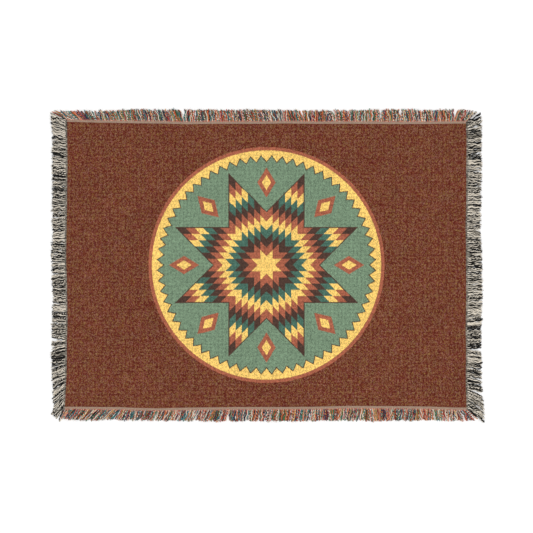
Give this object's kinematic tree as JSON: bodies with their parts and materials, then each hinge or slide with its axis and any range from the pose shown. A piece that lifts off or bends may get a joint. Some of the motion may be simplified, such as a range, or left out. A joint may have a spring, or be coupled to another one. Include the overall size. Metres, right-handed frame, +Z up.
{
  "type": "woven throw blanket",
  "caption": "Flat woven throw blanket with a round star medallion on a brown ground and a short cut fringe along every side, laid out face up.",
  "frame": {"origin": "on the floor, below the middle of the outline that the fringe tips reach", "axes": "+X along the long side, +Y towards the top edge, +Z up through the face of the cloth"},
  "size_m": [1.3248, 0.9582, 0.0022],
  "materials": {
    "panel_weave": "matte brown cotton weave with a green, yellow and rust star medallion",
    "warp_fringe": "matte cut yarn in many colours below a pale taupe heading",
    "weft_fringe": "matte cut yarn in black, grey and cream"
  },
  "bodies": {
    "root": {"woven_panel": "panel_weave", "fringe_top": "warp_fringe", "fringe_bottom": "warp_fringe", "fringe_left": "weft_fringe", "fringe_right": "weft_fringe"}
  },
  "joints": []
}
